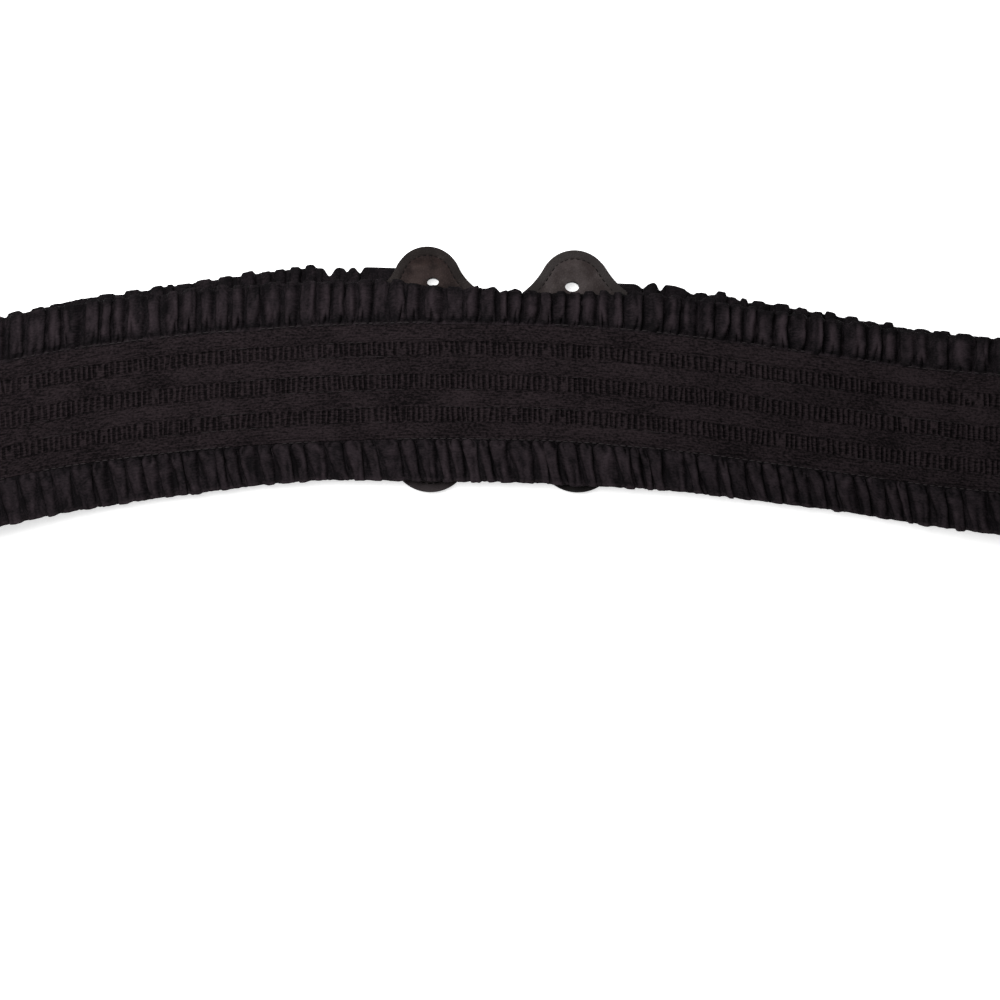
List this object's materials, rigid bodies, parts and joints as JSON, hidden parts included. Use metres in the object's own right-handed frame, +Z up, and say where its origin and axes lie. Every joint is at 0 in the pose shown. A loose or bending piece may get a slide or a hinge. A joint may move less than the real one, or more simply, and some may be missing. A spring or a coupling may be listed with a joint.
{
  "type": "ruffle-edged elastic waist belt",
  "caption": "Closed shirred elastic waist belt with gathered ruffles along both edges and lobed leather end pieces, lying flat with its back half on top.",
  "frame": {"origin": "middle of the belt's footprint, on the surface that it lies on", "axes": "+X along the belt to the right as seen with the back half on top, +Y across it towards the upper ruffle, +Z up"},
  "size_m": [0.3778, 0.103, 0.0161],
  "materials": {
    "shirred_elastic": "matt woven",
    "ruffle_cloth": "matt, slightly crisp",
    "leather_face": "satin grain",
    "leather_lining": "dull suede-like",
    "clasp_metal": "dark satin"
  },
  "bodies": {
    "root": {"elastic_band": "shirred_elastic", "ruffle_upper": "ruffle_cloth", "ruffle_lower": "ruffle_cloth", "leather_outer_left": "leather_face", "leather_outer_right": "leather_face", "leather_lining_left": "leather_lining", "leather_lining_right": "leather_lining", "clasp": "clasp_metal"}
  },
  "joints": []
}
